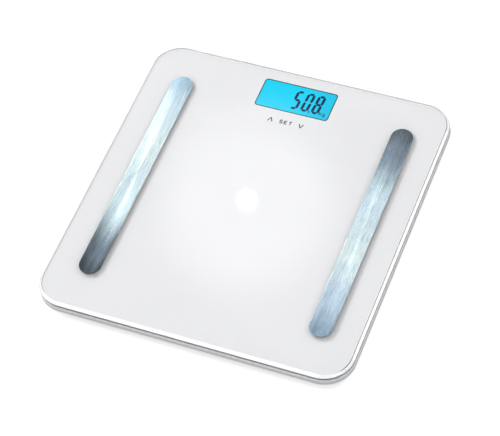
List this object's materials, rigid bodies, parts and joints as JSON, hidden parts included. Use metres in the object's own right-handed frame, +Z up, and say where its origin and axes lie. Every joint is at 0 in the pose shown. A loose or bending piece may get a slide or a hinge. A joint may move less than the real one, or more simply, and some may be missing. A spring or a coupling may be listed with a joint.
{
  "type": "digital bathroom scale",
  "caption": "Low square-cornered platform scale with a white-backed glass top, lit display, touch keys, steel foot electrodes and load-cell feet under a tray base.",
  "frame": {"origin": "on the floor, below the middle of the platform", "axes": "+Z up, +Y toward the display edge, +X to the right of a person who stands on it and faces the display"},
  "size_m": [0.3, 0.314, 0.0236],
  "materials": {
    "clear_glass": "clear toughened glass, polished bevelled edge",
    "white_print": "white ceramic screen print behind the glass",
    "border_print": "dark teal line round the display window",
    "grey_print": "dark grey screen-printed key marks",
    "foam_tape": "white double-sided acrylic foam",
    "brushed_stainless": "stainless steel brushed along its length",
    "nylon": "natural nylon washer",
    "tinned_brass": "tin plated",
    "steel_nut": "zinc-plated steel",
    "white_abs": "white moulded ABS, satin gloss",
    "grey_abs": "grey moulded ABS",
    "black_abs": "black moulded ABS",
    "silicone": "white silicone sealant",
    "zinc_screw": "zinc-plated self-tapping screw",
    "pcb_laminate": "green solder mask",
    "black_epoxy": "moulded epoxy",
    "ivory_nylon": "ivory nylon plug",
    "spring_steel": "plated spring wire",
    "lcd_lit": "backlit cyan liquid-crystal panel, emissive",
    "lcd_ink": "dark liquid-crystal segments",
    "light_guide": "acrylic light guide",
    "battery_jacket": "plain printed jacket on a steel can",
    "nickel_plate": "nickel-plated contact",
    "wire_pvc": "PVC insulated wire",
    "label_paper": "printed foil label without wording",
    "pad_rubber": "grey non-slip rubber",
    "cell_steel": "stamped alloy steel load cell"
  },
  "bodies": {
    "platform_and_base": {"base_housing": "white_abs", "glass_platform": "clear_glass", "glass_back_print": "white_print", "display_border": "border_print", "key_marks": "grey_print", "mounting_tape": "foam_tape", "electrode_left": "brushed_stainless", "electrode_right": "brushed_stainless", "electrode_washers": "nylon", "ring_terminals": "tinned_brass", "electrode_nuts": "steel_nut", "gauge_seals": "silicone", "carrier_screws": "zinc_screw", "main_pcb": "pcb_laminate", "pcb_screws": "zinc_screw", "control_chip": "black_epoxy", "pcb_components": "black_epoxy", "wire_connectors": "ivory_nylon", "tact_switch": "black_epoxy", "touch_springs": "spring_steel", "lcd_panel": "lcd_lit", "lcd_segments": "lcd_ink", "lcd_backlight": "light_guide", "lcd_frame": "black_abs", "lcd_pins": "tinned_brass", "battery_cells": "battery_jacket", "battery_contacts": "nickel_plate", "battery_springs": "nickel_plate", "load_cell_wires": "wire_pvc", "electrode_wires": "wire_pvc", "battery_wires": "wire_pvc", "rating_label": "label_paper", "load_cell_front_left": "cell_steel", "load_cell_front_right": "cell_steel", "load_cell_back_left": "cell_steel", "load_cell_back_right": "cell_steel", "cell_carrier_front_left": "grey_abs", "cell_carrier_front_right": "grey_abs", "cell_carrier_back_left": "grey_abs", "cell_carrier_back_right": "grey_abs"},
    "battery_door": {"battery_door": "white_abs"},
    "unit_button": {"unit_button": "grey_abs"},
    "foot_front_left": {"foot_cap_front_left": "white_abs", "foot_pad_front_left": "pad_rubber"},
    "foot_front_right": {"foot_cap_front_right": "white_abs", "foot_pad_front_right": "pad_rubber"},
    "foot_back_left": {"foot_cap_back_left": "white_abs", "foot_pad_back_left": "pad_rubber"},
    "foot_back_right": {"foot_cap_back_right": "white_abs", "foot_pad_back_right": "pad_rubber"}
  },
  "joints": [
    {"name": "foot_drop_front_left", "type": "slide", "parent": "platform_and_base", "child": "foot_front_left", "axis": [0, 0, -1], "range_m": [0, 0.0006]},
    {"name": "foot_drop_front_right", "type": "slide", "parent": "platform_and_base", "child": "foot_front_right", "axis": [0, 0, -1], "range_m": [0, 0.0006]},
    {"name": "foot_drop_back_left", "type": "slide", "parent": "platform_and_base", "child": "foot_back_left", "axis": [0, 0, -1], "range_m": [0, 0.0006]},
    {"name": "foot_drop_back_right", "type": "slide", "parent": "platform_and_base", "child": "foot_back_right", "axis": [0, 0, -1], "range_m": [0, 0.0006]},
    {"name": "battery_door_hinge", "type": "hinge", "parent": "platform_and_base", "child": "battery_door", "pos_m": [0, 0.0175, 0.0055], "axis": [-1, 0, 0], "range_deg": [0, 90]},
    {"name": "unit_button_press", "type": "slide", "parent": "platform_and_base", "child": "unit_button", "axis": [0, 0, 1], "range_m": [0, 0.0008], "stiffness_N_per_m": 600}
  ]
}
